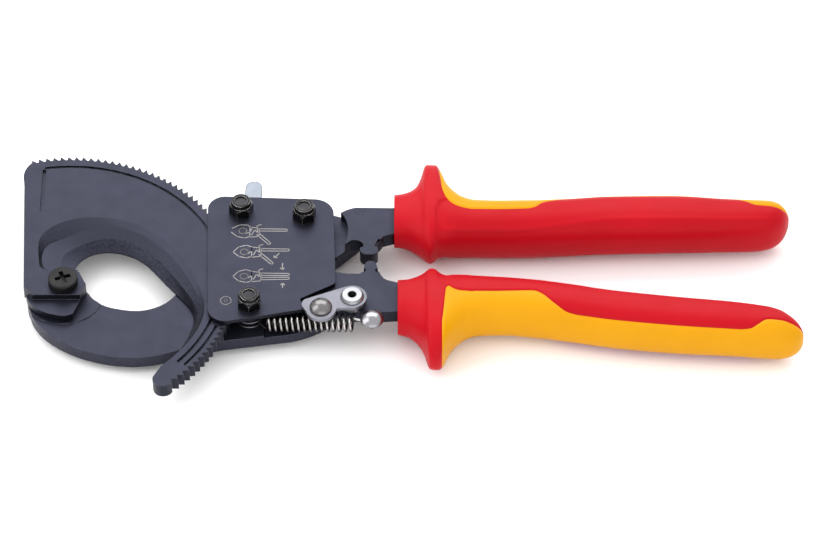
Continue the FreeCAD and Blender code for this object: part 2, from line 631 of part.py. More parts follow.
def moving_shank():
    """Plate of the moving handle with a thinned tongue for the driving pawl."""
    plate = Outline((84.5, 6.6)).curve((87.6, 4.9), (90.6, 4.2), (93.7, 4.1)
    ).curve((95.5, 4.6), (96.3, 6.6), (96.9, 8.8)
    ).arc((98.5, 9.7), (100.1, 8.8)).curve((100.9, 6.0), (102.7, 2.2), (105.0, 1.0)
    ).line((107.2, 0.3), (152.0, -4.5), (197.0, -12.2), (197.0, -19.6), (152.0, -13.4),
           (109.0, -12.0), (102.2, -12.4), (101.1, -15.0)
    ).arc((99.0, -17.4), (96.9, -15.0)).line((95.4, -12.2)
    ).line((83.5, -12.2)).curve((79.0, -10.6), (75.0, -8.3)
    ).arc((66.4, -3.4), (66.2, 5.4)).line((69.0, 8.4)).arc((76.0, 9.2), (84.5, 6.6))
    shank = plate.prism(BLADE_BACK, 0)
    tongue = capsule(HANDLE_PIVOT, DRIVE_PIN, 7.5, 3.6, BLADE_BACK, TONGUE_FRONT)
    pawl_room = disc(DRIVE_PIN, 6.6, TONGUE_FRONT, 1).fuse(
        rounded([(50, -12, 1), (66.4, -12, 1), (68.6, 10, 1), (50, 10, 1)], TONGUE_FRONT, 1))
    shank = shank.fuse(tongue).removeSplitter().cut(pawl_room)
    shank = shank.cut(disc(SPRING_POST, 4.2, POST_SEAT, 1))
    shank = shank.cut(disc(SPRING_POST, 3.4, BLADE_BACK - 1, POST_SEAT - POST_LOBE))
    for centre in ((96.2, 5.6), (100.7, 5.6)):
        shank = shank.cut(disc(centre, 0.8, -1.2, 1))
    shank = shank.cut(disc(HANDLE_PIVOT, HANDLE_PIN_RADIUS + RUNNING, -6, 1))
    for centre, radius in ((DRIVE_PIN, DRIVE_PIN_RADIUS), (LATCH_PIVOT, LATCH_RIVET_RADIUS),
                           (SPRING_POST, POST_STEM_RADIUS)):
        shank = shank.cut(disc(centre, radius, -6, 1))
    return shank


def spring_post():
    """Post with a polished domed head; the return spring hooks round its neck."""
    sphere_radius = 4.6
    head_radius = 3.75
    rise = math.sqrt(sphere_radius ** 2 - head_radius ** 2)
    brim = POST_HEAD_BACK + 0.6
    dome = Part.makeSphere(sphere_radius, V(*SPRING_POST, brim - rise))
    dome = dome.common(disc(SPRING_POST, head_radius, brim, 6))
    flange = disc(SPRING_POST, head_radius, POST_HEAD_BACK, brim)
    stem = disc(SPRING_POST, POST_STEM_RADIUS, POST_SEAT - POST_LOBE, POST_HEAD_BACK)
    return dome.fuse(flange).fuse(stem).removeSplitter()


def lock_latch():
    """Two-lobed locking latch that turns on the hollow rivet."""
    web = Outline((78.8, -16.2)).line((77.0, -13.2)).arc((76.7, -11.4), (77.8, -9.8)).line(
        (90.9, -4.4), (92.7, -13.5), (88.9, -13.5)).arc((88.0, -13.9), (87.3, -15.2)
    ).prism(LATCH_BACK, LATCH_FRONT)
    latch = web.fuse(disc(LATCH_PIVOT, 4.7, LATCH_BACK, LATCH_FRONT))
    latch = latch.fuse(disc(LATCH_BUTTON, 5.0, LATCH_BACK, LATCH_FRONT)).removeSplitter()
    latch = latch.cut(disc(LATCH_BUTTON, BUTTON_STEM_RADIUS, 0, 5))
    return latch.cut(disc(LATCH_PIVOT, LATCH_RIVET_RADIUS + RUNNING, 0, 5))


def latch_button():
    """Domed thumb button riveted through the latch."""
    sphere_radius = 4.2
    head_radius = 3.6
    rise = math.sqrt(sphere_radius ** 2 - head_radius ** 2)
    base = LATCH_FRONT + 0.5
    dome = Part.makeSphere(sphere_radius, V(*LATCH_BUTTON, base - rise))
    dome = dome.common(disc(LATCH_BUTTON, head_radius, base, base + 5))
    flange = disc(LATCH_BUTTON, head_radius, LATCH_FRONT, base)
    stem = disc(LATCH_BUTTON, BUTTON_STEM_RADIUS, LATCH_BACK, LATCH_FRONT)
    return dome.fuse(flange).fuse(stem).removeSplitter()


def latch_rivet():
    """Hollow rivet with a broad rolled head."""
    top = LATCH_FRONT + SLIDING
    head = Part.makeCone(3.8, 3.1, 1.0, V(*LATCH_PIVOT, top))
    stem = disc(LATCH_PIVOT, LATCH_RIVET_RADIUS, BLADE_BACK, top)
    return head.fuse(stem).cut(disc(LATCH_PIVOT, LATCH_RIVET_BORE, -6, 6))


def latch_spacer():
    """Washer that carries the latch clear of the cover plate."""
    return ring(LATCH_PIVOT, 3.9, LATCH_RIVET_RADIUS, 0, LATCH_BACK - SLIDING)


# ---------------------------------------------------------------- return spring

def helix_wire(start, end):
    """Round wire wound about the spring's axis between two places on X."""
    pitch = (end - start) / SPRING_TURNS
    helix = Part.makeHelix(pitch, end - start, SPRING_MEAN_RADIUS)
    profile = Part.Wire(Part.makeCircle(SPRING_WIRE, V(SPRING_MEAN_RADIUS, 0, 0), V(0, 1, 0)))
    coil = Part.Wire(helix).makePipeShell([profile], True, True)
    coil.rotate(V(0, 0, 0), V(0, 1, 0), 90)
    coil.translate(V(start, SPRING_Y, SPRING_Z))
    return coil


def hook(coil_end, loop_side, centre, radius):
    """Straight run from the coil, then a loop of wire round a post."""
    start = V(*coil_end)
    end = V(*loop_side)
    run = Part.makeCylinder(SPRING_WIRE, (end - start).Length, start, end - start)
    loop = Part.makeTorus(radius, SPRING_WIRE, V(*centre, end.z))
    return run.fuse(Part.makeSphere(SPRING_WIRE, start)).fuse(loop)


def return_spring():
    """Tension spring that opens the handles, hooked on the anchor and the post."""
    anchor_radius = 3.55
    post_radius = POST_STEM_RADIUS + SPRING_WIRE + 0.15
    left = hook((SPRING_START, SPRING_Y, SPRING_Z - SPRING_MEAN_RADIUS),
                (SPRING_BOLT[0] + 2.6, SPRING_BOLT[1] - 2.42, ANCHOR_HOOK_Z),
                SPRING_BOLT, anchor_radius)
    right = hook((SPRING_END, SPRING_Y, SPRING_Z + SPRING_MEAN_RADIUS),
                 (SPRING_POST[0] - post_radius, SPRING_POST[1], POST_SEAT + SPRING_WIRE + 0.05),
                 SPRING_POST, post_radius)
    return Part.makeCompound([helix_wire(SPRING_START, SPRING_END), left, right])


# ---------------------------------------------------------------- grips

def grip_section(start_x, station):
    """Closed superellipse across the handle at one station."""
    distance, outer, inner, half_thickness = station
    centre = (outer + inner) / 2
    half_width = (outer - inner) / 2
    power = 2 / SECTION_ROUNDNESS
    points = []
    for i in range(SECTION_POINTS):
        angle = 2 * math.pi * i / SECTION_POINTS
        across = math.copysign(abs(math.cos(angle)) ** power, math.cos(angle))
        through = math.copysign(abs(math.sin(angle)) ** power, math.sin(angle))
        points.append(V(start_x + distance, centre + half_width * across,
                        GRIP_CENTRE_Z + half_thickness * through))
    loop = Part.BSplineCurve()
    loop.interpolate(points, PeriodicFlag=True)
    return Part.Wire(loop.toShape())


def across_grip(stations, distance, share):
    """Y value at a share of the half width outward from the middle of the grip."""
    before = max(s for s in stations[:-1] if s[0] <= distance)
    after = min(s for s in stations[1:] if s[0] > before[0])
    part = (distance - before[0]) / (after[0] - before[0])
    outer = before[1] + (after[1] - before[1]) * part
    inner = before[2] + (after[2] - before[2]) * part
    return (outer + inner) / 2 + (outer - inner) / 2 * share


def inlay_region(start_x, stations, front):
    """Plan region of the harder outer component."""
    points = [(start_x + distance, across_grip(stations, min(distance, stations[-1][0]), share))
              for distance, share in front + INLAY_EDGE]
    far_side = 3 * stations[0][1]
    corner = len(front)
    path = Outline(points[0]).line(*points[1:corner]).curve(*points[corner:])
    return path.line((points[-1][0], far_side), (points[0][0], far_side)).prism(-20, 20)


def grip_pair(start_x, stations, front, shank):
    """Soft body and hard inlay of one handle, bored to take its shank."""
    grip = Part.makeLoft([grip_section(start_x, station) for station in stations], True, False)
    region = inlay_region(start_x, stations, front)
    return grip.cut(region).cut(shank), grip.common(region).cut(shank)


# ---------------------------------------------------------------- build

def main():
    os.makedirs("parts", exist_ok=True)
    fixed = fixed_shank()
    moving = moving_shank()
    save("fixed_jaw", fixed_jaw())
    save("moving_blade", moving_blade())
    save("cover_plate", cover_plate())
    save("frame_bolts", frame_bolts())
    save("lock_nuts", lock_nuts())
    save("pivot_screw", pivot_screw())
    save("pivot_nut", pivot_nut())
    save("pawl_sleeve", pawl_sleeve())
    save("spring_anchor", spring_anchor())
    save("handle_pin", handle_pin())
    save("shank_dowel", shank_dowel())
    save("fixed_shank", fixed)
    save("stop_pin", stop_pin())
    save("holding_pawl", holding_pawl())
    save("release_lever", release_lever())
    save("lever_rivet", lever_rivet())
    save("holding_spring", holding_spring())
    save("drive_pawl", drive_pawl())
    save("drive_spring", drive_spring())
    save("drive_pin", drive_pin())
    save("moving_shank", moving)
    save("spring_post", spring_post())
    save("lock_latch", lock_latch())
    save("latch_button", latch_button())
    save("latch_rivet", latch_rivet())
    save("latch_spacer", latch_spacer())
    save("return_spring", return_spring())
    body, inlay = grip_pair(FIXED_GRIP_X, FIXED_GRIP, FIXED_INLAY_FRONT, fixed)
    save("fixed_grip_body", body)
    save("fixed_grip_inlay", inlay)
    body, inlay = grip_pair(MOVING_GRIP_X, MOVING_GRIP, MOVING_INLAY_FRONT, moving)
    save("moving_grip_body", body)
    save("moving_grip_inlay", inlay)


main()
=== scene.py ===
import json
import math

import bmesh
import bpy
import numpy as np
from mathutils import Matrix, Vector


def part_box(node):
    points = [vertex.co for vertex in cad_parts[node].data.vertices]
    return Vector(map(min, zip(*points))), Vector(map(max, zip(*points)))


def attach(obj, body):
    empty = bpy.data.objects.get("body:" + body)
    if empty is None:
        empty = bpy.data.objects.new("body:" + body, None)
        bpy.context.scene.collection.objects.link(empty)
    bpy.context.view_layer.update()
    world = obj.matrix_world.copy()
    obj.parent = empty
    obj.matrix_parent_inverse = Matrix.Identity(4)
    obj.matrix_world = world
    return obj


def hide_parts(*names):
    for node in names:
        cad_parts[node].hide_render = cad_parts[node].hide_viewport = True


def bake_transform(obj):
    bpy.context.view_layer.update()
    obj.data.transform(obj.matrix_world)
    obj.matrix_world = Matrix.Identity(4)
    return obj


# Looks of the ratchet cable cutter. Sizes are millimetres in the pivot frame: the blade
# pivot is its Z axis and the blade's front face its Z = 0. place() turns them into metres
# in the row frame.

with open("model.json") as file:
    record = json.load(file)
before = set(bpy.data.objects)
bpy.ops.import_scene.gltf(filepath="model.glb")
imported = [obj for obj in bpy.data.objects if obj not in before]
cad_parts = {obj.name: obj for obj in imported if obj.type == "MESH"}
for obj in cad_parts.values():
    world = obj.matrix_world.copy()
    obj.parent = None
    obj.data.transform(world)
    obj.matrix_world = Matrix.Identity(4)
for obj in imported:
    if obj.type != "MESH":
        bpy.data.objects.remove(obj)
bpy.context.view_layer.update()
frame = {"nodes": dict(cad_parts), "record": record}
nodes = frame["nodes"]

MM = 0.001

# Sizes of the blobs in the finishes, in millimetres
CLOUD_SIZE = 14.0
GLOSS_SIZE = 5.0
# patches along the edges where wear and painted light show
EDGE_PATCH_SIZE = 2.2
# size of the specks of painted shade on slopes and sides
SLOPE_MOTTLE_SIZE = 0.9
PLASTIC_CLOUD_SIZE = 22.0
PLASTIC_GLOSS_SIZE = 9.0
PORE_SIZE = 1.4
SKIN_SIZE = 0.35

# Part of a noise or of the upward share of the normal that is spread over a finish
CLOUD_RANGE = (0.35, 0.65)
PLASTIC_CLOUD_RANGE = (0.3, 0.7)
GRAIN_RANGE = (0.3, 0.75)
SPECK_RANGE = (0.46, 0.6)
# patch range of the edge colour, wear and painted light
EDGE_PATCH_RANGE = (0.35, 0.7)
GLOSS_RANGE = (0.3, 0.7)
# Upright faces get painted shade over SIDE_RANGE, and slopes and sides get painted-shade specks
# over SLOPE_RANGE
SIDE_RANGE = (0.15, 0.8)
SLOPE_RANGE = (0.985, 0.85)

GRAIN_TONES = (0.86, 1.1)
GRAIN_STRENGTH = 0.6
SKIN_STRENGTH = 0.35
PORE_STRENGTH = 0.25
MATT_SPECULAR = 0.1
BEVEL_SAMPLES = 6
EDGE_TURN = (0.02, 0.25)   # how far the normal turns where the edge colour (wear and painted light) starts and where it is full
DEEPEST_SHADE_TONE = 0.07           # painted shade: share of the tone that is left at the lower shaded height

screw_low, screw_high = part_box("pivot_screw")
PIVOT = Vector(((screw_low.x + screw_high.x) / 2, (screw_low.y + screw_high.y) / 2,
                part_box("moving_blade")[1].z))


def place(x, y, z):
    return PIVOT + Vector((x, y, z)) * MM


# ---------------------------------------------------------------- materials

class Finish:
    """One procedural material, built node by node around a Principled shader."""

    def __init__(self, name, **settings):
        self.material = bpy.data.materials.new(name)
        self.material.use_nodes = True
        self.tree = self.material.node_tree
        self.shader = self.tree.nodes["Principled BSDF"]
        for socket, value in settings.items():
            self.shader.inputs[socket.replace("_", " ")].default_value = value
        self.where = self.add("ShaderNodeTexCoord").outputs["Object"]

    def add(self, kind, **inputs):
        node = self.tree.nodes.new(kind)
        for socket, value in inputs.items():
            self.feed(node.inputs[socket.replace("_", " ")], value)
        return node

    def feed(self, socket, value):
        if isinstance(value, bpy.types.NodeSocket):
            self.tree.links.new(value, socket)
        else:
            socket.default_value = value

    def noise(self, size, detail, roughness=0.55):
        """Noise whose blobs are about size millimetres across."""
        return self.add("ShaderNodeTexNoise", Vector=self.where, Scale=1 / (size * MM),
                        Detail=detail, Roughness=roughness).outputs["Fac"]

    def spread(self, value, low, high, to_low=0.0, to_high=1.0):
        """Map a range of a value to another one."""
        node = self.add("ShaderNodeMapRange", Value=value, From_Min=low, From_Max=high,
                        To_Min=to_low, To_Max=to_high)
        return node.outputs["Result"]

    def maths(self, operation, a, b):
        node = self.tree.nodes.new("ShaderNodeMath")
        node.operation = operation
        self.feed(node.inputs[0], a)
        self.feed(node.inputs[1], b)
        return node.outputs[0]

    def mix(self, factor, a, b):
        node = self.tree.nodes.new("ShaderNodeMix")
        node.data_type = "RGBA"
        self.feed(node.inputs["Factor"], factor)
        self.feed(node.inputs[6], a)
        self.feed(node.inputs[7], b)
        return node.outputs[2]

    def soft_edges(self, radius):
        """Normal with the edges rounded off by a radius in millimetres."""
        node = self.add("ShaderNodeBevel", Radius=radius * MM)
        node.samples = BEVEL_SAMPLES
        return node.outputs["Normal"]

    def edge_mask(self, rounded):
        """1 on edges, for wear and painted light, 0 on flats, from how far the rounded normal has
        turned.
        """
        flat = self.add("ShaderNodeNewGeometry").outputs["Normal"]
        dot = self.tree.nodes.new("ShaderNodeVectorMath")
        dot.operation = "DOT_PRODUCT"
        self.feed(dot.inputs[0], flat)
        self.feed(dot.inputs[1], rounded)
        turned = self.maths("SUBTRACT", 1.0, dot.outputs["Value"])
        return self.spread(turned, *EDGE_TURN)

    def bump(self, height, distance, strength, normal=None):
        node = self.add("ShaderNodeBump", Height=height, Distance=distance * MM,
                        Strength=strength)
        if normal is not None:
            self.feed(node.inputs["Normal"], normal)
        return node.outputs["Normal"]

    def finish(self, **links):
        for socket, value in links.items():
            self.feed(self.shader.inputs[socket.replace("_", " ")], value)
        return self.material


def steel(name, light, dark, metallic, gloss, rough, grain, edge, wear_and_painted_light, radius=0.25,
          grain_depth=0.012, side=1.0, mottle_and_slope_shade=0.0, shaded=None):
    """Satin steel: cloudy tone, fine grain, edges part wear and part painted light, painted shade
    on sides.

    light and dark are the two tones, gloss and rough the two roughnesses. grain is the size
    of the fine grain and grain_depth its height, radius that of the softened edges, all in
    millimetres. edge is the colour on the edges: rubbed wear with a painted highlight, and a
    painted dark outline where it is darker than the tone. side scales the tone of upright
    faces as painted shade, painted light where it is above 1, and mottle_and_slope_shade is
    how dark the specks in slopes and sides are: random mottling kept to tilted faces as
    painted shade. shaded gives two heights between which the tone rises from painted shade
    at the lower one to the full tone.
    """
    finish = Finish(name, Metallic=metallic)
    clouds = finish.noise(CLOUD_SIZE, 4.0)
    fine = finish.noise(grain, 5.0, 0.7)
    tone = finish.mix(finish.spread(clouds, *CLOUD_RANGE), dark, light)
    grain_and_shade = finish.spread(fine, *GRAIN_RANGE, *GRAIN_TONES)
    # Painted shade on upright faces: the tone is scaled by side where the face stands upright,
    # painted light where side is above 1
    direction = finish.tree.nodes.new("ShaderNodeSeparateXYZ")
    finish.feed(direction.inputs[0], finish.add("ShaderNodeNewGeometry").outputs["Normal"])
    facing = finish.maths("ABSOLUTE", direction.outputs["Z"], 0.0)
    grain_and_shade = finish.maths("MULTIPLY", grain_and_shade, finish.spread(facing, *SIDE_RANGE, side, 1.0))
    # Painted shade on slopes and sides: random dark specks, kept to tilted faces only
    if mottle_and_slope_shade:
        slope = finish.spread(facing, *SLOPE_RANGE)
        specks = finish.spread(finish.noise(SLOPE_MOTTLE_SIZE, 5.0, 0.7), *SPECK_RANGE, 0.0, mottle_and_slope_shade)
        unspecked = finish.maths("SUBTRACT", 1.0, finish.maths("MULTIPLY", slope, specks))
        grain_and_shade = finish.maths("MULTIPLY", grain_and_shade, unspecked)
    # Painted shade: the tone darkens towards the bottom, between the two heights
    if shaded:
        position = finish.add("ShaderNodeSeparateXYZ", Vector=finish.where)
        low, high = (PIVOT.z + height * MM for height in shaded)
        height_shade = finish.spread(position.outputs["Z"], low, high, DEEPEST_SHADE_TONE, 1.0)
        grain_and_shade = finish.maths("MULTIPLY", grain_and_shade, height_shade)
    shade = finish.add("ShaderNodeVectorMath")
    shade.operation = "SCALE"
    finish.feed(shade.inputs[0], tone)
    finish.feed(shade.inputs["Scale"], grain_and_shade)
    # Edge colour: partly rubbed wear, partly a painted highlight, and a painted dark outline where
    # the colour is darker than the tone
    rounded = finish.soft_edges(radius)
    wear_and_painted_light_mask = finish.edge_mask(rounded)
    patches = finish.spread(finish.noise(EDGE_PATCH_SIZE, 3.0), *EDGE_PATCH_RANGE)
    wear_and_painted_light_mask = finish.maths("MULTIPLY", finish.maths("MULTIPLY", wear_and_painted_light_mask, patches), wear_and_painted_light)
    colour = finish.mix(wear_and_painted_light_mask, shade.outputs["Vector"], edge)
    roughness = finish.spread(finish.noise(GLOSS_SIZE, 4.0), *GLOSS_RANGE, gloss, rough)
    normal = finish.bump(fine, grain_depth, GRAIN_STRENGTH, rounded)
    return finish.finish(Base_Color=colour, Roughness=roughness, Normal=normal)


def moulded(name, light, dark, rough_low, rough_high, skin):
    """Moulded plastic: slight tone clouds, leathery skin and softened edges."""
    finish = Finish(name, Metallic=0.0, Specular_IOR_Level=MATT_SPECULAR)
    clouds = finish.noise(PLASTIC_CLOUD_SIZE, 3.0)
    colour = finish.mix(finish.spread(clouds, *PLASTIC_CLOUD_RANGE), dark, light)
    fine = finish.noise(SKIN_SIZE, 2.0, 0.5)
    pores = finish.noise(PORE_SIZE, 2.0, 0.5)
    gloss = finish.noise(PLASTIC_GLOSS_SIZE, 4.0)
    roughness = finish.spread(gloss, *GLOSS_RANGE, rough_low, rough_high)
    porous = finish.bump(pores, skin * 2, PORE_STRENGTH)
    normal = finish.bump(fine, skin, SKIN_STRENGTH, porous)
    return finish.finish(Base_Color=colour, Roughness=roughness, Normal=normal)


# side below 1 puts painted shade on upright faces and above 1 painted light; a bright edge colour
# is wear with a painted highlight, a dark one a painted shade outline
BURNISHED = steel("burnished_steel", (0.028, 0.029, 0.046, 1), (0.025, 0.027, 0.041, 1),
                  metallic=0.85, gloss=0.38, rough=0.48, grain=0.22, edge=(0.235, 0.235, 0.269, 1),
                  wear_and_painted_light=0.7, side=0.85, mottle_and_slope_shade=0.45)
JAW_STEEL = steel("jaw_steel", (0.028, 0.029, 0.046, 1), (0.025, 0.027, 0.041, 1), metallic=0.85,
                  gloss=0.38, rough=0.48, grain=0.22, edge=(0.235, 0.235, 0.269, 1), wear_and_painted_light=0.7,
                  side=1.2, mottle_and_slope_shade=0.3)
COVER_STEEL = steel("cover_steel", (0.027, 0.029, 0.045, 1), (0.025, 0.026, 0.041, 1),
                    metallic=0.85, gloss=0.38, rough=0.46, grain=0.16,
                    edge=(0.202, 0.202, 0.235, 1), wear_and_painted_light=0.5, side=0.5)
# bright edge colour: painted highlight on the nuts' chamfered rims, with some wear
BLACK_STEEL = steel("black_steel", (0.022, 0.022, 0.023, 1), (0.008, 0.008, 0.009, 1), metallic=0.8,
                    gloss=0.2, rough=0.36, grain=0.2, edge=(0.714, 0.697, 0.672, 1), wear_and_painted_light=1.5,
                    radius=0.34, side=0.6)
BOLT_STEEL = steel("bolt_steel", (0.050, 0.050, 0.055, 1), (0.025, 0.025, 0.029, 1), metallic=0.85,
                   gloss=0.3, rough=0.45, grain=0.4, edge=(0.420, 0.420, 0.420, 1), wear_and_painted_light=0.8,
                   radius=0.2, grain_depth=0.05)
SCREW_STEEL = steel("screw_steel", (0.018, 0.017, 0.018, 1), (0.011, 0.010, 0.011, 1),
                    metallic=0.75, gloss=0.4, rough=0.55, grain=0.18, edge=(0.185, 0.176, 0.176, 1),
                    wear_and_painted_light=0.7, radius=0.25, grain_depth=0.02, side=0.6)
PLATED = steel("plated_steel", (0.302, 0.302, 0.319, 1), (0.244, 0.244, 0.260, 1), metallic=1.0,
               gloss=0.14, rough=0.24, grain=0.3, edge=(0.672, 0.672, 0.689, 1), wear_and_painted_light=0.35,
               radius=0.25, grain_depth=0.002)
BUTTON_STEEL = steel("button_steel", (0.227, 0.218, 0.218, 1), (0.143, 0.139, 0.143, 1),
                     metallic=1.0, gloss=0.18, rough=0.28, grain=0.3, edge=(0.504, 0.504, 0.521, 1),
                     wear_and_painted_light=0.6, radius=0.25, grain_depth=0.004)
# dark edge colour and dark sides: painted shade outlining the lever tab
TAB_STEEL = steel("tab_steel", (0.225, 0.245, 0.280, 1), (0.185, 0.205, 0.240, 1), metallic=0.9,
                  gloss=0.3, rough=0.42, grain=0.3, edge=(0.050, 0.050, 0.067, 1), wear_and_painted_light=3.0,
                  radius=0.55, grain_depth=0.006, side=0.3)
# side above 1: painted light on the latch's upright rim
ZINC = steel("zinc_steel", (0.155, 0.155, 0.181, 1), (0.126, 0.126, 0.147, 1), metallic=1.0,
             gloss=0.3, rough=0.42, grain=0.18, edge=(0.588, 0.588, 0.613, 1), wear_and_painted_light=0.9, radius=0.3,
             grain_depth=0.006, side=1.5)
# dark edge colour and darker sides: painted shade round the rivet's rims
RIVET = steel("bright_rivet", (0.336, 0.344, 0.361, 1), (0.269, 0.277, 0.294, 1), metallic=0.9,
              gloss=0.25, rough=0.35, grain=0.2, edge=(0.134, 0.134, 0.151, 1), wear_and_painted_light=0.8,
              radius=0.3, grain_depth=0.004, side=0.5)
# shaded: painted shade darkening the lower half of the coils, towards the bottom
SPRING_WIRE_FINISH = steel("spring_steel", (0.521, 0.504, 0.496, 1), (0.370, 0.353, 0.344, 1),
                           metallic=1.0, gloss=0.16, rough=0.28, grain=0.25,
                           edge=(0.756, 0.756, 0.756, 1), wear_and_painted_light=0.3, radius=0.1, grain_depth=0.004,
                           shaded=(-3.3, -1.7))
ETCHED = steel("etched_lines", (0.302, 0.286, 0.277, 1), (0.235, 0.223, 0.218, 1), metallic=0.3,
               gloss=0.5, rough=0.7, grain=0.3, edge=(0.336, 0.319, 0.311, 1), wear_and_painted_light=0.3,
               radius=0.05)
RED = moulded("soft_red", (0.415, 0.002, 0.009, 1), (0.375, 0.002, 0.007, 1), rough_low=0.38,
              rough_high=0.48, skin=0.01)
YELLOW = moulded("hard_yellow", (0.610, 0.278, 0.002, 1), (0.570, 0.250, 0.002, 1), rough_low=0.34,
                 rough_high=0.44, skin=0.008)

FINISH_OF_SLOT = {
    "burnished_steel": BURNISHED, "black_steel": BLACK_STEEL, "screw_steel": SCREW_STEEL,
    "plated_steel": PLATED, "spring_steel": SPRING_WIRE_FINISH, "zinc_steel": ZINC,
    "bright_rivet": RIVET, "soft_red": RED, "hard_yellow": YELLOW,
}


def paint(obj, material):
    obj.data.materials.clear()
    obj.data.materials.append(material)


for part in frame["record"]["subparts"]:
    paint(nodes[part["node"]], FINISH_OF_SLOT[part["material_slot"]])
paint(nodes["cover_plate"], COVER_STEEL)
paint(nodes["frame_bolts"], BOLT_STEEL)
paint(nodes["fixed_jaw"], JAW_STEEL)
paint(nodes["stop_pin"], BURNISHED)
paint(nodes["release_lever"], TAB_STEEL)
paint(nodes["latch_button"], BUTTON_STEEL)


# ---------------------------------------------------------------- mesh helpers

def mesh_object(name, points, faces, material):
    mesh = bpy.data.meshes.new(name)
    mesh.from_pydata([tuple(place(*p)) for p in points], [], faces)
    mesh.validate()
    mesh.materials.append(material)
    obj = bpy.data.objects.new(name, mesh)
    bpy.context.scene.collection.objects.link(obj)
    mesh.polygons.foreach_set("use_smooth", [True] * len(mesh.polygons))
    return obj


MERGE_DISTANCE = 0.002


def clean(obj):
    """Merge coincident points, drop what collapses and point the faces outward."""
    work = bmesh.new()
    work.from_mesh(obj.data)
    bmesh.ops.remove_doubles(work, verts=work.verts, dist=MERGE_DISTANCE * MM)
    bmesh.ops.dissolve_degenerate(work, edges=work.edges, dist=MERGE_DISTANCE * MM / 2)
    bmesh.ops.recalc_face_normals(work, faces=work.faces)
    work.to_mesh(obj.data)
    work.free()
    obj.data.update()


def smooth(share):
    """Ease from 0 to 1, flat outside."""
    share = np.clip(share, 0, 1)
    return share * share * (3 - 2 * share)


def flowing(xs, ys):
    """Smooth curve through the points that doesn't overshoot them."""
    xs = np.array(xs, float)
    ys = np.array(ys, float)
    step = np.diff(xs)
    slope = np.diff(ys) / step
    tangent = np.zeros(len(xs))
    tangent[0], tangent[-1] = slope[0], slope[-1]
    for i in range(1, len(xs) - 1):
        if slope[i - 1] * slope[i] > 0:
            first = 2 * step[i] + step[i - 1]
            second = step[i] + 2 * step[i - 1]
            tangent[i] = (first + second) / (first / slope[i - 1] + second / slope[i])

    def value(at):
        at = np.clip(np.asarray(at, float), xs[0], xs[-1])
        i = np.clip(np.searchsorted(xs, at, side="right") - 1, 0, len(xs) - 2)
        h = step[i]
        t = (at - xs[i]) / h
        return (ys[i] * (1 + 2 * t) * (1 - t) ** 2 + tangent[i] * h * t * (1 - t) ** 2
                + ys[i + 1] * t * t * (3 - 2 * t) + tangent[i + 1] * h * t * t * (t - 1))
    return value


# ---------------------------------------------------------------- grips

# Stations as (distance from the collar, outer edge, inner edge, half thickness)
FIXED_GRIP_X = 106.0
FIXED_GRIP = (
    (0.0, 38.3, 20.1, 6.8), (2.4, 38.6, 19.9, 7.1), (4.9, 39.5, 18.9, 7.5),
    (7.0, 41.5, 17.4, 7.9), (8.4, 45.0, 16.0, 8.3), (9.0, 47.3, 15.3, 8.6),
    (9.6, 49.9, 14.7, 9.15), (10.1, 51.2, 14.2, 9.45), (10.8, 51.5, 13.6, 9.6),
    (11.5, 51.5, 13.2, 9.65), (13.0, 51.3, 14.3, 9.75), (13.9, 51.1, 15.6, 9.8),
    (14.5, 50.0, 16.1, 9.8), (15.5, 47.2, 16.6, 9.7), (17.0, 42.6, 17.0, 9.6),
    (19.0, 39.3, 17.2, 9.4), (22.0, 36.4, 17.3, 9.1), (26.0, 35.0, 17.3, 8.8),
    (34.0, 34.6, 17.2, 8.8), (45.0, 34.6, 17.4, 9.0), (55.0, 35.1, 17.9, 9.0),
    (70.0, 36.4, 18.4, 8.9), (90.0, 36.8, 18.8, 8.7), (108.0, 35.3, 19.4, 8.6),
    (117.0, 34.6, 19.9, 8.6), (121.5, 34.4, 20.7, 8.3), (124.5, 33.8, 22.2, 7.2),
    (126.5, 32.4, 24.2, 5.5), (127.5, 30.9, 26.2, 4.0), (127.9, 29.6, 27.5, 3.0),
)
MOVING_GRIP_X = 107.2
MOVING_GRIP = (
    (0.0, -17.6, 1.1, 6.8), (3.0, -18.4, 1.3, 7.2), (6.0, -21.1, 2.4, 7.7),
    (7.8, -24.2, 3.6, 8.1), (8.8, -27.2, 4.5, 8.5), (9.4, -29.6, 5.1, 9.1),
    (10.0, -31.4, 5.6, 9.4), (10.8, -32.0, 5.9, 9.6), (12.0, -32.1, 5.5, 9.7),
    (13.0, -31.9, 4.3, 9.8), (14.0, -31.5, 3.3, 9.8), (14.5, -30.6, 3.0, 9.8),
    (15.5, -27.6, 2.5, 9.7), (17.0, -24.0, 2.2, 9.6), (19.0, -21.1, 2.1, 9.4),
    (22.0, -18.3, 1.9, 9.1), (26.0, -16.9, 1.5, 8.8), (34.0, -16.6, 0.8, 8.8),
    (45.0, -17.6, -0.6, 9.0), (55.0, -19.3, -2.2, 9.0), (70.0, -22.1, -4.8, 8.9),
    (90.0, -24.4, -7.4, 8.7), (108.0, -25.5, -9.6, 8.6), (117.0, -26.2, -11.5, 8.6),
    (121.5, -26.4, -13.1, 8.3), (124.5, -26.1, -15.0, 7.2), (127.0, -25.1, -17.3, 5.5),
    (128.2, -23.9, -19.2, 4.0), (128.7, -22.9, -20.4, 3.0),
)
ROUNDNESS = 2.4
GRIP_CENTRE_Z = -2.5
TIP_CAP = 0.25             # how far the rounded tip goes past the last station

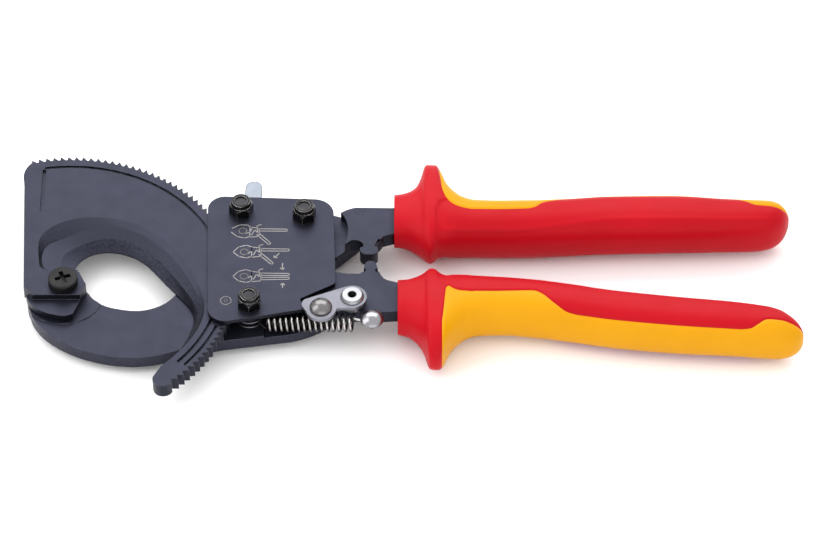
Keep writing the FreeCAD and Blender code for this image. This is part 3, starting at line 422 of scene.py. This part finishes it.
# Edge of the hard inlay as (distance, share of the half width outward from the middle)
INLAY_REAR = ((62.0, 0.74), (85.0, 0.72), (108.0, 0.73), (111.7, 0.68), (114.0, 0.51),
              (117.0, 0.24), (121.5, 0.16), (126.2, 0.08), (131.0, 0.0))
FIXED_INLAY = ((14.2, 1.0), (14.35, 0.88), (15.0, 0.5), (15.6, 0.22), (17.2, 0.1),
               (20.2, 0.05), (30.0, 0.1), (43.0, 0.11), (45.6, 0.2), (48.2, 0.48),
               (50.5, 0.6), (55.0, 0.71)) + INLAY_REAR
MOVING_INLAY = ((14.1, 0.45), (14.7, 0.16), (15.06, -0.1), (15.5, -0.33),
                (16.07, -0.34), (17.4, -0.21), (18.7, -0.09), (21.3, 0.05), (24.0, 0.11),
                (30.0, 0.11), (36.0, 0.07), (40.0, 0.02), (43.6, -0.02), (46.0, 0.10),
                (49.4, 0.42), (54.2, 0.71), (57.6, 0.745)) + INLAY_REAR
# Angle of the blunt ridge between a grip's face and its inner side, by distance
RIDGE = ((12.5, 109.0), (14.8, 129.0), (17.7, 139.0), (27.7, 135.0), (39.9, 135.0),
         (54.7, 127.5), (72.9, 117.0), (98.8, 118.0), (121.4, 121.5), (130.0, 122.0))
RIDGE_HEIGHT = 0.24
RIDGE_WIDTH = 6.0          # degrees
SEAM_DEPTH = 0.28
SEAM_WIDTH = 0.42
SEAM_FRONT_REACH = 1.05    # how far out the seam runs along the inlay's front end
SEAM_SPLIT = 18            # the seam's points are closer together before this distance
SEAM_POINTS = (160, 260)
RELIEF_FADE = (12, 124, 6) # where the ridge starts and ends, and over what length
FIXED_DISH = (17.4, 25.0, 4.6, 6.0, 0.45)     # centre, reach along and across, and depth
DISH_RIM = 0.22            # share of the reach over which the dish sinks to its depth
DISH_RUN_OUT = 1.6         # reaches over which it rises again towards the rear

# Mesh of the grips: cross sections as (from, to, count), and points round each section
GRIP_SPANS = ((0, 7, 16), (7, 14.2, 40), (14.2, 17, 56), (17, 27, 50), (27, 42, 22),
              (42, 58, 40), (58, 108, 50), (108, 121, 44))
LAST_SPAN = (121, 34)
CAP_RINGS = 6
ARC_POINTS = 104
WALL_POINTS = 32
BUNCHING = 0.8             # 0 is even, 1 gathers the arc's points at the seam
SECTION_GAP = 0.01         # no other section comes as near to the inlay's front end


class Grip:
    """Lofted grip whose red body and yellow inlay meet along a sunk seam."""

    def __init__(self, start_x, stations, edge, dish):
        distances = [s[0] for s in stations]
        self.start_x = start_x
        self.length = distances[-1]
        self.outer = flowing(distances, [s[1] for s in stations])
        self.inner = flowing(distances, [s[2] for s in stations])
        self.thick = flowing(distances, [s[3] for s in stations])
        self.dish = dish
        self.ridge = flowing([r[0] for r in RIDGE], [r[1] for r in RIDGE])
        self.inlay_start = edge[0][0]
        self.share = flowing([e[0] for e in edge], [e[1] for e in edge])
        near, far = SEAM_POINTS
        along = np.concatenate([np.linspace(self.inlay_start, SEAM_SPLIT, near),
                                np.linspace(SEAM_SPLIT, self.length, far)[1:]])
        middle, half, _ = self.section(along)
        corner = [[self.inlay_start, middle[0] + half[0] * SEAM_FRONT_REACH]]
        side = np.stack([along, middle + half * self.share(along)], 1)
        self.seam = np.concatenate([corner, side])

    def section(self, distance):
        """Middle, signed half width (outward) and half thickness at a distance."""
        outer = self.outer(distance)
        inner = self.inner(distance)
        return (outer + inner) / 2, (outer - inner) / 2, self.thick(distance)

    def rows(self):
        """Distances of the cross sections, closer together where the shape turns."""
        spans = GRIP_SPANS + ((LAST_SPAN[0], self.length, LAST_SPAN[1]),)
        parts = [np.linspace(a, b, n, endpoint=False) for a, b, n in spans]
        return np.append(np.concatenate(parts), self.length)

    def seam_distance(self, distance, across):
        """Plan distance from points to the seam."""
        a = self.seam[:-1]
        b = self.seam[1:]
        length = ((b - a) ** 2).sum(1)
        points = np.stack([distance, across], 1)
        best = np.full(len(points), 1e9)
        for i in range(len(a)):
            t = np.clip(((points - a[i]) @ (b[i] - a[i])) / length[i], 0, 1)
            gap = points - (a[i] + t[:, None] * (b[i] - a[i]))
            best = np.minimum(best, (gap ** 2).sum(1))
        return np.sqrt(best)

    def surface(self, distance, angle, scale=1.0):
        """Points of the outside for arrays of distances and section angles."""
        middle, half, thick = self.section(distance)
        power = 2 / ROUNDNESS
        across = np.sign(np.cos(angle)) * np.abs(np.cos(angle)) ** power
        through = np.sign(np.sin(angle)) * np.abs(np.sin(angle)) ** power
        normal_y = np.sign(across) * np.abs(np.cos(angle)) ** (2 - power) / np.abs(half)
        normal_z = np.sign(through) * np.abs(np.sin(angle)) ** (2 - power) / thick
        size = np.hypot(normal_y, normal_z)
        y = middle + half * across * scale
        z = thick * through * scale
        near = self.seam_distance(distance, y)
        sink = SEAM_DEPTH * np.exp(-(near / SEAM_WIDTH) ** 2)
        sink = sink + self.relief(distance, angle, y)
        y = y - np.sign(half) * normal_y / size * sink
        z = z - normal_z / size * sink
        return np.stack([self.start_x + distance, y, GRIP_CENTRE_Z + z], 1)

    def relief(self, distance, angle, y):
        """Shaping on top of the plain loft, positive inwards: blunt ridge and thumb dish."""
        turn = np.degrees(angle) % 360
        turn = np.minimum(turn, 360 - turn)
        first, last, length = RELIEF_FADE
        fade = smooth((distance - first) / length) * smooth((last - distance) / length)
        ridge = -RIDGE_HEIGHT * fade * np.exp(-((turn - self.ridge(distance)) / RIDGE_WIDTH) ** 2)
        if self.dish is None:
            return ridge
        middle_x, middle_y, reach_x, reach_y, depth = self.dish
        radius = np.hypot((distance - middle_x) / reach_x, (y - middle_y) / reach_y)
        on_face = smooth(np.abs(np.sin(angle)) * 3 - 1)    # 0 on the sides, 1 on the faces
        rear = smooth((middle_x + reach_x - distance) / (DISH_RUN_OUT * reach_x))
        return ridge + depth * on_face * rear * smooth((1 - radius) / DISH_RIM)

    def rings(self, body_part):
        """Sections as (distance, scale, whether body and inlay are parted there)."""
        start = self.inlay_start
        rings = []
        if body_part:
            rings = [(d, 1.0, False) for d in self.rows() if d < start - SECTION_GAP]
            rings.append((start, 1.0, False))
        rings.append((start, 1.0, True))
        rings += [(d, 1.0, True) for d in self.rows() if d > start + SECTION_GAP]
        for i in range(1, CAP_RINGS + 1):
            turn = math.pi / 2 * i / CAP_RINGS
            rings.append((self.length + TIP_CAP * math.sin(turn), math.cos(turn), True))
        return rings

    def ring_points(self, body_part, distance, scale, parted):
        """One closed section: its outside, then the wall towards the other component."""
        spread = np.linspace(0, 1, ARC_POINTS)
        spread = spread - BUNCHING * np.sin(2 * math.pi * spread) / (2 * math.pi)
        capped = min(distance, self.length)
        share = float(np.clip(self.share(max(capped, self.inlay_start)), -1, 1))
        edge_angle = math.acos(math.copysign(abs(share) ** (ROUNDNESS / 2), share))
        if body_part:
            angles = edge_angle + (2 * math.pi - 2 * edge_angle) * spread
        else:
            angles = -edge_angle + 2 * edge_angle * spread
        outside = self.surface(np.full(ARC_POINTS, capped), angles, scale)
        outside[:, 0] += distance - capped
        if parted:
            wall = np.linspace(outside[-1], outside[0], WALL_POINTS + 2)[1:-1]
        else:
            turns = np.linspace(-edge_angle, edge_angle, WALL_POINTS + 2)[1:-1]
            wall = self.surface(np.full(WALL_POINTS, capped), turns)
        return np.concatenate([outside, wall])

    def build(self, name, body_part, material, slot, body):
        """Closed skin of the soft body or of the inlay."""
        grid = [self.ring_points(body_part, *ring) for ring in self.rings(body_part)]
        points = [tuple(point) for ring in grid for point in ring]
        faces = []
        count = ARC_POINTS + WALL_POINTS
        for i in range(len(grid) - 1):
            for j in range(count):
                k = (j + 1) % count
                faces.append((i * count + j, i * count + k,
                              (i + 1) * count + k, (i + 1) * count + j))
        faces.append(tuple(reversed(range(count))))
        obj = mesh_object(name, points, faces, material)
        clean(obj)
        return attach(obj, body)


def build_grips():
    fixed = Grip(FIXED_GRIP_X, FIXED_GRIP, FIXED_INLAY, FIXED_DISH)
    moving = Grip(MOVING_GRIP_X, MOVING_GRIP, MOVING_INLAY, None)
    for grip, body, label in ((fixed, "frame", "fixed"), (moving, "handle", "moving")):
        soft = grip.build(label + "_grip_red", True, RED, "soft_red", body)
        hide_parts(label + "_grip_body")
        hard = grip.build(label + "_grip_yellow", False, YELLOW, "hard_yellow", body)
        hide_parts(label + "_grip_inlay")


build_grips()


# ---------------------------------------------------------------- return spring

SPRING_BOLT = (59.9, -10.5)
SPRING_POST = (99.0, -15.6)
SPRING_Y = -15.1
SPRING_Z = -2.6
SPRING_MEAN_RADIUS = 2.35
SPRING_WIRE = 0.4
SPRING_START = 65.2
SPRING_END = 93.6
SPRING_TURNS = 15.5
ANCHOR_HOOK_Z = -3.75
ANCHOR_LOOP = 3.55
ANCHOR_ARC = (0, 317)      # degrees of wire round the anchor and the post
POST_LOOP = 1.85
POST_HOOK_Z = -0.7
POST_ARC = (180, 500)
COIL_POINTS = 28           # points to each turn
LOOP_POINTS = 40
RUN_POINTS = 6
WIRE_SIDES = 12


def tube(name, path, radius, material):
    """Round wire along a path of points, with closed ends."""
    points = []
    faces = []
    side = Vector((0, 0, 1))
    for i, at in enumerate(path):
        ahead = path[min(i + 1, len(path) - 1)] - path[max(i - 1, 0)]
        ahead.normalize()
        side = (side - ahead * side.dot(ahead)).normalized()
        other = ahead.cross(side)
        for j in range(WIRE_SIDES):
            turn = 2 * math.pi * j / WIRE_SIDES
            points.append(at + (side * math.cos(turn) + other * math.sin(turn)) * radius)
    for i in range(len(path) - 1):
        for j in range(WIRE_SIDES):
            k = (j + 1) % WIRE_SIDES
            faces.append((i * WIRE_SIDES + j, i * WIRE_SIDES + k,
                          (i + 1) * WIRE_SIDES + k, (i + 1) * WIRE_SIDES + j))
    faces.append(tuple(reversed(range(WIRE_SIDES))))
    last = (len(path) - 1) * WIRE_SIDES
    faces.append(tuple(range(last, last + WIRE_SIDES)))
    return mesh_object(name, points, faces, material)


def loop_points(centre, radius, z, arc):
    first, last = arc
    turns = [math.radians(first + (last - first) * i / (LOOP_POINTS - 1))
             for i in range(LOOP_POINTS)]
    return [Vector((centre[0] + radius * math.cos(t), centre[1] + radius * math.sin(t), z))
            for t in turns]


def straight_run(a, b):
    """Points between two places, without the ends."""
    return [a.lerp(b, i / (RUN_POINTS + 1)) for i in range(1, RUN_POINTS + 1)]


def build_return_spring():
    coil = []
    steps = int(SPRING_TURNS * COIL_POINTS)
    for i in range(steps + 1):
        share = i / steps
        turn = -math.pi / 2 + 2 * math.pi * SPRING_TURNS * share
        coil.append(Vector((SPRING_START + (SPRING_END - SPRING_START) * share,
                            SPRING_Y + SPRING_MEAN_RADIUS * math.cos(turn),
                            SPRING_Z + SPRING_MEAN_RADIUS * math.sin(turn))))
    left = loop_points(SPRING_BOLT, ANCHOR_LOOP, ANCHOR_HOOK_Z, ANCHOR_ARC)
    right = loop_points(SPRING_POST, POST_LOOP, POST_HOOK_Z, POST_ARC)
    path = (left + straight_run(left[-1], coil[0]) + coil
            + straight_run(coil[-1], right[0]) + right)
    spring = tube("return_spring_wire", path, SPRING_WIRE, SPRING_WIRE_FINISH)
    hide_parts("return_spring")
    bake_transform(spring)


build_return_spring()


# ---------------------------------------------------------------- cover icons

ICON_HEIGHT = 0.03
ICON_LINE = 0.3


def strokes(name, lines, z, material, body):
    """Thin flat strokes laid on a face, one closed box to each straight piece."""
    points = []
    faces = []
    for line in lines:
        for (x0, y0), (x1, y1) in zip(line, line[1:]):
            length = math.hypot(x1 - x0, y1 - y0)
            along = ((x1 - x0) / length, (y1 - y0) / length)
            side = (-along[1] * ICON_LINE / 2, along[0] * ICON_LINE / 2)
            start = (x0 - along[0] * ICON_LINE / 3, y0 - along[1] * ICON_LINE / 3)
            end = (x1 + along[0] * ICON_LINE / 3, y1 + along[1] * ICON_LINE / 3)
            first = len(points)
            for height in (z - ICON_HEIGHT, z + ICON_HEIGHT):
                points += [(start[0] - side[0], start[1] - side[1], height),
                           (end[0] - side[0], end[1] - side[1], height),
                           (end[0] + side[0], end[1] + side[1], height),
                           (start[0] + side[0], start[1] + side[1], height)]
            faces += [tuple(first + i for i in face) for face in (
                (3, 2, 1, 0), (4, 5, 6, 7), (0, 1, 5, 4), (1, 2, 6, 5), (2, 3, 7, 6),
                (3, 0, 4, 7))]
    obj = mesh_object(name, points, faces, material)
    obj.data.polygons.foreach_set("use_smooth", [False] * len(faces))
    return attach(obj, body)


def circle(x, y, radius, count=20):
    return [(x + radius * math.cos(2 * math.pi * i / count),
             y + radius * math.sin(2 * math.pi * i / count)) for i in range(count + 1)]


def shifted(line, dx, dy, turn=0.0, about=(0.0, 0.0)):
    cosine = math.cos(math.radians(turn))
    sine = math.sin(math.radians(turn))
    result = []
    for x, y in line:
        x, y = x - about[0], y - about[1]
        result.append((about[0] + x * cosine - y * sine + dx,
                       about[1] + x * sine + y * cosine + dy))
    return result


def cutter_icon(dx, dy, handle_turn, handle_length, jaw_turn):
    """Small line drawing of a cutter, its lower handle and upper jaw turned by the angles."""
    jaw = [(0.0, 0.0), (1.7, 2.2), (4.2, 3.0), (6.0, 2.2), (6.0, 0.4), (4.9, -0.6)]
    hook = [(0.0, 0.0), (1.9, -1.9), (4.4, -2.6), (6.0, -1.9)]
    opening = circle(3.6, 0.1, 1.25)
    box = [(6.0, -2.2), (6.0, 2.2), (9.0, 1.7), (9.0, -1.9), (6.0, -2.2)]
    knee = [(6.6, -1.2), (7.6, 1.0), (8.6, -0.4), (8.2, 2.8), (9.6, 3.3)]
    upper = [(9.0, 1.5), (18.0, 1.3), (18.0, 0.4), (9.0, 0.5)]
    handle_root = (9.0, -0.4)
    end = handle_root[0] + handle_length
    lower = [handle_root, (end, -0.3), (end, -1.2), (9.0, -1.4)]
    jaw_root = (5.0, 0.0)
    drawn = [shifted(jaw, 0, 0, jaw_turn, jaw_root), hook,
             shifted(opening, 0, 0, jaw_turn, jaw_root), box, knee, upper,
             shifted(lower, 0, 0, handle_turn, handle_root)]
    return [shifted(line, dx, dy) for line in drawn]


def arrow(tip, tail):
    """Shaft and head of an arrow."""
    barb = 0.9
    spread = 0.6
    length = math.hypot(tip[0] - tail[0], tip[1] - tail[1])
    ux, uy = (tip[0] - tail[0]) / length, (tip[1] - tail[1]) / length
    left = (tip[0] - barb * ux - spread * uy, tip[1] - barb * uy + spread * ux)
    right = (tip[0] - barb * ux + spread * uy, tip[1] - barb * uy - spread * ux)
    return [[tail, tip], [left, tip, right]]


def build_icons():
    face = (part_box("cover_plate")[1].z - PIVOT.z) / MM
    lines = cutter_icon(54.4, 1.3, 0, 9.0, 0) + cutter_icon(54.2, 11.9, -48, 6.0, 0)
    lines += cutter_icon(53.4, 20.6, -50, 6.0, -20)
    lines += arrow((70.4, -1.4), (70.4, -3.4)) + arrow((70.2, 4.1), (70.2, 7.0))
    lines += arrow((67.4, 9.2), (69.0, 11.3))
    lines += [circle(52.4, -9.0, 1.7), circle(52.4, -9.0, 0.5, 10)]
    strokes("cover_icons", lines, face, ETCHED, "frame")


build_icons()


# ---------------------------------------------------------------- stage

FLOOR_REACH = 6.0
FLOOR_HEIGHT = -0.0002
FLOOR_TONES = ((0.93, 0.93, 0.93, 1), (0.96, 0.96, 0.96, 1))
FLOOR_CLOUD_SIZE = 400.0
FLOOR_GLOSS_SIZE = 60.0
FLOOR_ROUGHNESS = (0.85, 0.95)
# Softboxes as (name, place, size, power), all aimed at the row's origin
LIGHTS = (
    ("back_softbox", (0.0, 1.25, 1.35), (2.4, 1.4), 25),
    ("left_softbox", (-1.2, -0.1, 1.1), (1.0, 1.4), 9),
    ("front_fill", (0.2, -1.3, 0.5), (1.6, 0.8), 4),
)
SKY_TOP = 0.6              # height of the direction above which the sky is evenly bright
SKY_LOW_STRENGTH = 0.72
SKY_HIGH_STRENGTH = 1.34
CAMERA_LENS = 203.96
CAMERA_ELEVATION = 47.95
CAMERA_DISTANCE = 1.5
CAMERA_TARGET = (111.94, 3.50, 0.0)


def build_floor():
    mesh = bpy.data.meshes.new("floor")
    corners = ((-1, -1), (1, -1), (1, 1), (-1, 1))
    mesh.from_pydata([(x * FLOOR_REACH, y * FLOOR_REACH, FLOOR_HEIGHT) for x, y in corners],
                     [], [(0, 1, 2, 3)])
    floor = bpy.data.objects.new("floor", mesh)
    bpy.context.scene.collection.objects.link(floor)
    finish = Finish("floor_paper", Specular_IOR_Level=MATT_SPECULAR)
    tone = finish.mix(finish.noise(FLOOR_CLOUD_SIZE, 2.0), *FLOOR_TONES)
    roughness = finish.spread(finish.noise(FLOOR_GLOSS_SIZE, 2.0), 0, 1, *FLOOR_ROUGHNESS)
    mesh.materials.append(finish.finish(Base_Color=tone, Roughness=roughness))


def area_light(name, location, size, power):
    data = bpy.data.lights.new(name, "AREA")
    data.shape = "RECTANGLE"
    data.size, data.size_y = size
    data.energy = power
    light = bpy.data.objects.new(name, data)
    light.location = location
    light.rotation_euler = (-Vector(location)).to_track_quat("-Z", "Y").to_euler()
    bpy.context.scene.collection.objects.link(light)


def build_stage():
    build_floor()
    for light in LIGHTS:
        area_light(*light)
    world = bpy.data.worlds.new("studio")
    bpy.context.scene.world = world
    world.use_nodes = True
    tree = world.node_tree
    direction = tree.nodes.new("ShaderNodeTexCoord")
    height = tree.nodes.new("ShaderNodeSeparateXYZ")
    shade = tree.nodes.new("ShaderNodeMapRange")
    shade.inputs["From Max"].default_value = SKY_TOP
    shade.inputs["To Min"].default_value = SKY_LOW_STRENGTH
    shade.inputs["To Max"].default_value = SKY_HIGH_STRENGTH
    tree.links.new(direction.outputs["Generated"], height.inputs[0])
    tree.links.new(height.outputs["Z"], shade.inputs["Value"])
    tree.links.new(shade.outputs["Result"], tree.nodes["Background"].inputs["Strength"])
    tree.nodes["Background"].inputs["Color"].default_value = (1, 1, 1, 1)


def build_camera():
    data = bpy.data.cameras.new("camera")
    data.sensor_width = 36.0
    data.lens = CAMERA_LENS
    data.clip_start = 0.05
    data.clip_end = 20.0
    camera = bpy.data.objects.new("camera", data)
    elevation = math.radians(CAMERA_ELEVATION)
    back = Vector((0, -math.cos(elevation), math.sin(elevation)))
    camera.location = place(*CAMERA_TARGET) + back * CAMERA_DISTANCE
    camera.rotation_euler = (math.pi / 2 - elevation, 0, 0)
    bpy.context.scene.collection.objects.link(camera)
    bpy.context.scene.camera = camera


build_stage()
build_camera()
bpy.context.scene.view_settings.view_transform = "Standard"
